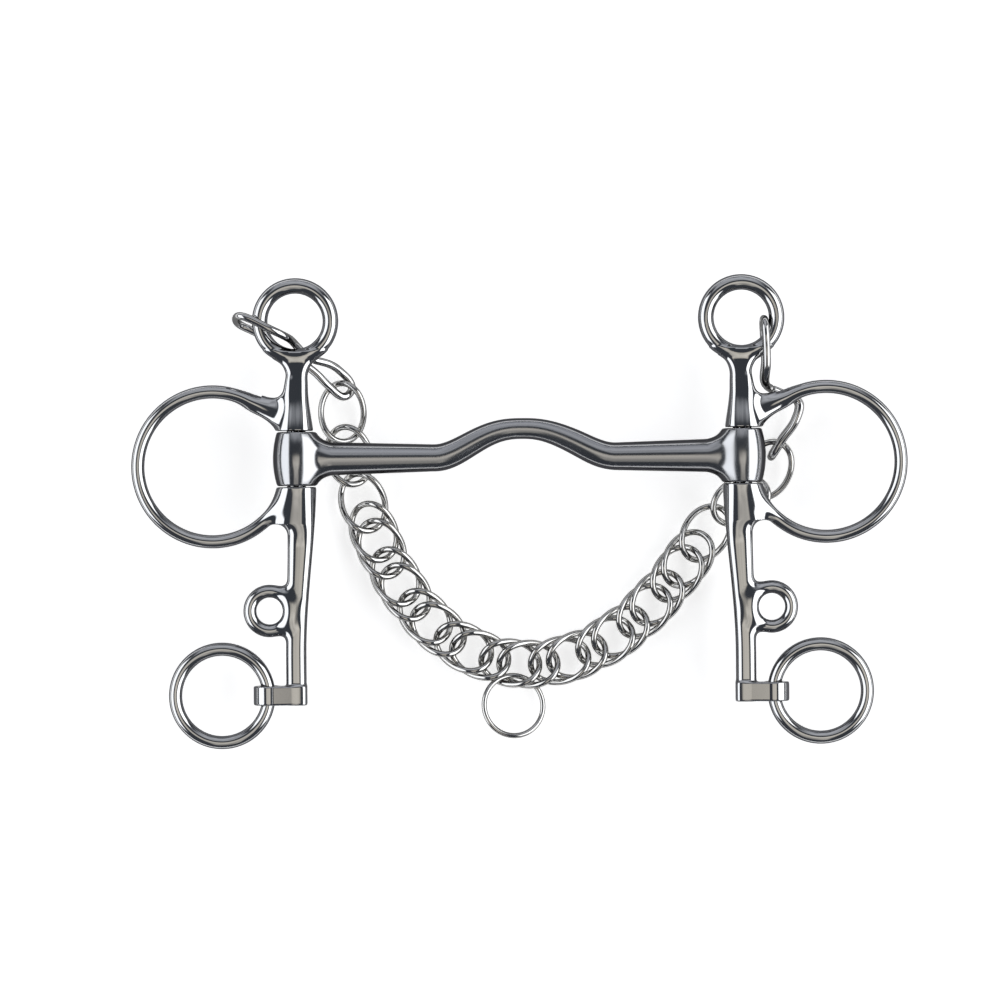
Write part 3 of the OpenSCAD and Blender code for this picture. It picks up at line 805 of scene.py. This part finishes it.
# Along the line t runs from 0 at the eye loop to 1 at the bow. The strands come together
# at waist; the last eye_t and bow_t of the line are the bends. Rolls are the turns of the
# strands' plane at the eye loop, the waist and the bow, in degrees, and first is a
# direction across the wire at its first point.
HOOKS = {
    "left": {
        "stations": [
            (18.6, 44.4, BIT_Z), (13.4, 42.2, BIT_Z), (7.6, 38.9, BIT_Z - 0.3),
            (2.4, 35.0, BIT_Z - 3.6), (-3.6, 30.9, BIT_Z - 5.4), (-8.9, 27.9, BIT_Z - 7.6),
            (-13.05, 24.4, 4.793), (-16.25, 20.65, 3.593),
        ],
        "waist": 0.56, "eye_t": 0.1, "bow_t": 0.12, "rolls": (-20, -90, -115), "first": (0, 0, 1),
    },
    "right": {
        "stations": [
            (7.1, 42.9, BIT_Z), (7.5, 36.5, BIT_Z), (7.7, 29.5, BIT_Z - 0.4),
            (7.9, 22.5, BIT_Z - 4.6), (13.0, 19.6, BIT_Z - 6.4), (18.6, 16.6, BIT_Z - 7.6),
            (17.3, 10.6, 6.893), (13.6, 5.3, 4.993), (9.9, -0.5, 4.293),
        ],
        "waist": 0.45, "eye_t": 0.1, "bow_t": 0.08, "rolls": (0, 0, 0), "first": (1, 0, 0),
    },
}
EYE_LOOP_HALF = 4.28
BOW_HALF = 3.28
WAIST_HALF = 1.04 * HOOK_WIRE
LOOP_FULL = 0.4  # share of the way to the waist over which the eye loop keeps its width
BOW_FULL = 0.55  # share of the way from the waist after which the bow has its width
ROLL_START = 0.4
ROLL_END = 0.6
WIRE_START = -0.015  # places of the wire's two ends, from the waist
WIRE_END = -0.045
BACK_STEPS, BOW_STEPS, FRONT_STEPS, EYE_STEPS, END_STEPS = 70, 50, 130, 50, 60
HOOK_SIDES = 20
SMOOTH_ROUNDS = 12
TANGENT_STEP = 0.01


def curve(s, t):
    """Catmull-Rom curve through the stations, t from 0 to 1."""
    n = len(s) - 1
    i = min(int(t * n), n - 1)
    f = t * n - i
    a, b, c, d = s[max(i - 1, 0)], s[i], s[i + 1], s[min(i + 2, n)]
    bend, twist = 2 * a - 5 * b + 4 * c - d, 3 * b - a - 3 * c + d
    return 0.5 * (2 * b + (c - a) * f + bend * f * f + twist * f**3)


def strand(s, half, roll, t, side):
    """Point beside the middle line, half away from it in the plane turned by roll."""
    g = curve(s, min(1, t + TANGENT_STEP)) - curve(s, max(0, t - TANGENT_STEP))
    g /= np.linalg.norm(g)
    level = np.cross([0, 0, 1.0], g)
    level /= np.linalg.norm(level)
    up = np.cross(g, level)
    roll = math.radians(roll)
    return curve(s, t) + side * half * (math.cos(roll) * up + math.sin(roll) * level)


def hook_line(hook):
    """The bent wire: to the bow, round it, back to the eye loop, round it, to the waist."""
    s = [np.array(q, float) for q in hook["stations"]]
    w, eye_t, bow_t, rolls = hook["waist"], hook["eye_t"], hook["bow_t"], hook["rolls"]

    def half(t):
        if t < w:
            return float(mix(EYE_LOOP_HALF, WAIST_HALF, ramp(t, mix(eye_t, w, LOOP_FULL), w)))
        return float(mix(WAIST_HALF, BOW_HALF, ramp(t, w, mix(w, 1, BOW_FULL))))

    def roll(t):
        if t < w:
            return float(mix(rolls[0], rolls[1], ramp(t, w * ROLL_START, w)))
        return float(mix(rolls[1], rolls[2], ramp(t, w, mix(w, 1, ROLL_END))))

    line = []
    for i in range(BACK_STEPS):
        t = mix(w + WIRE_START, 1 - bow_t, i / BACK_STEPS)
        line.append(strand(s, half(t), roll(t), t, 1))
    for i in range(BOW_STEPS):
        a = math.pi * i / BOW_STEPS
        t = 1 - bow_t + bow_t * math.sin(a)
        line.append(strand(s, BOW_HALF * math.cos(a), roll(t), t, 1))
    for i in range(FRONT_STEPS):
        t = mix(1 - bow_t, eye_t, i / FRONT_STEPS)
        line.append(strand(s, half(t), roll(t), t, -1))
    for i in range(EYE_STEPS):
        a = math.pi * i / EYE_STEPS
        t = eye_t - eye_t * math.sin(a)
        line.append(strand(s, -EYE_LOOP_HALF * math.cos(a), roll(t), t, 1))
    for i in range(END_STEPS + 1):
        t = mix(eye_t, w + WIRE_END, i / END_STEPS)
        line.append(strand(s, half(t), roll(t), t, 1))
    return np.array(line)


def smoothed(points, rounds):
    """Evens out the joins of a line without moving its ends."""
    for _ in range(rounds):
        points[1:-1] = (points[:-2] + 2 * points[1:-1] + points[2:]) / 4
    return points


def curb_hooks():
    for side in ("left", "right"):
        hook = HOOKS[side]
        node = side + "_curb_hook"
        line = smoothed(hook_line(hook), SMOOTH_ROUNDS)
        points = line * [SIDE[side], 1, 1] + np.array([BOSS[side][0], BIT_Y, 0])
        wire = tube(points, HOOK_WIRE, HOOK_SIDES, hook["first"])
        make_piece(node + "_polished", *wire, "hook_steel", node)


mouthpiece_piece()
cheek_pieces()
rein_rings()
chain_rings()
fly_ring()
curb_hooks()

# ---- floor and world, in metres ----

FLOOR_HALF = 6.0
FLOOR_DROP = 0.0001
FLOOR_WHITE = 0.93
FLOOR_GLOW = 0.62
NOISE_SCALE = 3.0
NOISE_RANGE = (0.1, 0.75)


def make_floor():
    """White table: its own colour takes the shadows, what camera and gloss see is white."""
    material = bpy.data.materials.new("white_table")
    material.use_nodes = True
    nodes, links = material.node_tree.nodes, material.node_tree.links
    shader = nodes["Principled BSDF"]
    shader.inputs["Base Color"].default_value = (FLOOR_WHITE, FLOOR_WHITE, FLOOR_WHITE, 1)
    shader.inputs["Roughness"].default_value = 1.0
    shader.inputs["Specular IOR Level"].default_value = 0.0
    shader.inputs["Emission Color"].default_value = (1, 1, 1, 1)
    sight = nodes.new("ShaderNodeLightPath")
    seen = sight.outputs["Is Camera Ray"]
    for ray in ("Is Glossy Ray", "Is Transmission Ray"):
        either = nodes.new("ShaderNodeMath")
        either.operation = "ADD"
        either.use_clamp = True
        links.new(seen, either.inputs[0])
        links.new(sight.outputs[ray], either.inputs[1])
        seen = either.outputs[0]
    glow = nodes.new("ShaderNodeMath")
    glow.operation = "MULTIPLY"
    glow.inputs[1].default_value = FLOOR_GLOW
    links.new(seen, glow.inputs[0])
    links.new(glow.outputs[0], shader.inputs["Emission Strength"])
    signs = ((-1, -1), (1, -1), (1, 1), (-1, 1))
    corners = [(x * FLOOR_HALF, y * FLOOR_HALF, 0) for x, y in signs]
    mesh = bpy.data.meshes.new("floor")
    mesh.from_pydata(corners, [], [(0, 1, 2, 3)])
    mesh.materials.append(material)
    floor = bpy.data.objects.new("floor", mesh)
    floor.location.z = -FLOOR_DROP
    bpy.context.scene.collection.objects.link(floor)


# Patches of the sky, which the steel mirrors: each is a colour where all its ramps are
# high. A ramp is (axis, from, to) on the direction, "ax" and "ay" are sizes without sign.
SKY_DARK = (0.040, 0.044, 0.052)
SKY_PATCHES = [
    ("horizon", (0.10, 0.102, 0.11), [("z", 0.16, 0.04)]),
    ("top_wall", (0.50, 0.51, 0.55), [("y", 0.66, 0.86), ("z", 0.10, 0.22)]),
    ("top_lamp", (0.50, 0.51, 0.54), [("y", 0.34, 0.50), ("y", 0.88, 0.74), ("ax", 0.52, 0.40)]),
    ("ceiling", (0.74, 0.69, 0.61), [("z", 0.945, 0.975), ("y", 0.12, 0.04)]),
    (
        "low_ceiling", (0.70, 0.66, 0.60),
        [("y", -0.78, -0.64), ("y", 0.0, -0.14), ("ax", 0.22, 0.15)],
    ),
    ("left_box", (1.30, 1.32, 1.36), [("x", -0.52, -0.60), ("z", 0.20, 0.27), ("ay", 0.58, 0.50)]),
    ("right_box", (1.75, 1.76, 1.78), [("x", 0.46, 0.53), ("z", 0.20, 0.27), ("ay", 0.58, 0.50)]),
]


def make_world():
    """A dark studio with softboxes at both sides, a wall above and a beige ceiling."""
    world = bpy.data.worlds.new("studio")
    bpy.context.scene.world = world
    world.use_nodes = True
    nodes, links = world.node_tree.nodes, world.node_tree.links

    def math_node(kind, *values):
        node = nodes.new("ShaderNodeMath")
        node.operation = kind
        for socket, value in zip(node.inputs, values):
            links.new(value, socket)
        return node.outputs[0]

    def ramp_node(value, low, high):
        node = nodes.new("ShaderNodeMapRange")
        node.interpolation_type = "SMOOTHSTEP"
        falls = low > high
        node.inputs["From Min"].default_value = min(low, high)
        node.inputs["From Max"].default_value = max(low, high)
        node.inputs["To Min"].default_value = 1.0 if falls else 0.0
        node.inputs["To Max"].default_value = 0.0 if falls else 1.0
        links.new(value, node.inputs["Value"])
        return node.outputs["Result"]

    where = nodes.new("ShaderNodeTexCoord")
    split = nodes.new("ShaderNodeSeparateXYZ")
    links.new(where.outputs["Generated"], split.inputs["Vector"])
    axis = {name.lower(): split.outputs[name] for name in "XYZ"}
    axis["ax"] = math_node("ABSOLUTE", axis["x"])
    axis["ay"] = math_node("ABSOLUTE", axis["y"])
    drift = nodes.new("ShaderNodeTexNoise")
    drift.inputs["Scale"].default_value = NOISE_SCALE
    links.new(where.outputs["Generated"], drift.inputs["Vector"])
    total = None
    for name, tone, ramps in SKY_PATCHES:
        mask = None
        for key, low, high in ramps:
            step = ramp_node(axis[key], low, high)
            mask = step if mask is None else math_node("MULTIPLY", mask, step)
        if not name.endswith("_box"):
            uneven = ramp_node(drift.outputs["Fac"], *NOISE_RANGE)
            mask = math_node("MULTIPLY", mask, uneven)
        patch = nodes.new("ShaderNodeMix")
        patch.data_type = "RGBA"
        patch.label = name
        patch.inputs["B"].default_value = (*tone, 1)
        links.new(mask, patch.inputs["Factor"])
        if total is None:
            patch.inputs["A"].default_value = (*SKY_DARK, 1)
        else:
            links.new(total, patch.inputs["A"])
        total = patch.outputs["Result"]
    back = nodes["Background"]
    links.new(total, back.inputs["Color"])
    back.inputs["Strength"].default_value = 1.0


make_floor()
make_world()
bpy.context.scene.view_settings.view_transform = "Standard"

# ---- image places of the pieces ----

# how much of the wire inside its middle line counts to the edge of an opening
EYE_SHARE = 0.7
LOOP_SHARE = 0.6


def shown(verts):
    """Image places of vertices given in metres."""
    turn = np.array(camera.rotation_euler.to_matrix())
    local = (np.asarray(verts) - np.array(camera.location)) @ turn
    scale = max(IMAGE_W, IMAGE_H) * LENS / SENSOR / -local[:, 2]
    return np.stack([IMAGE_W / 2 + scale * local[:, 0], IMAGE_H / 2 - scale * local[:, 1]], 1)


def piece_verts(name):
    """Vertices of a piece at rest, in metres."""
    mesh = bpy.data.objects[name].data
    flat = np.empty(3 * len(mesh.vertices))
    mesh.vertices.foreach_get("co", flat)
    return flat.reshape(-1, 3)


def middle(name, centre=None, reach=None):
    """Middle of what shows of a piece, or of its vertices within reach of a place."""
    verts = piece_verts(name)
    if centre is not None:
        away = np.hypot(verts[:, 0] / MM - centre[0], verts[:, 1] / MM - centre[1])
        verts = verts[away < reach]
    places = shown(verts)
    return (places.min(0) + places.max(0)) / 2


def write_points():
    """Image places of the pieces' outer edges, of the rings and of the cheeks' openings."""
    pieces = [o.name for o in bpy.data.objects if o.name.endswith("_polished")]
    places = np.concatenate([shown(piece_verts(name)) for name in pieces])
    found = {
        "left_edge": (places[:, 0].min(), None),
        "right_edge": (places[:, 0].max(), None),
        "top_edge": (None, places[:, 1].min()),
        "bottom_edge": (None, places[:, 1].max()),
        "fly_ring": middle("fly_ring_polished"),
    }
    openings = {
        "top_eye": (0, EYE_Y, EYE_R - EYE_WIRE * EYE_SHARE),
        "side_ring": (SIDE_X, SIDE_Y, SIDE_R - SIDE_WIRE * EYE_SHARE),
        "strap_loop": (STRAP_X, STRAP_Y, STRAP_R - STRAP_WIRE * LOOP_SHARE),
    }
    for side in ("left", "right"):
        found[side + "_rein_ring"] = middle(side + "_rein_ring_polished")
        for name, (x, y, reach) in openings.items():
            centre = (BOSS[side][0] + SIDE[side] * x, BIT_Y + y)
            found[side + "_" + name] = middle(side + "_cheek_polished", centre, reach)


write_points()
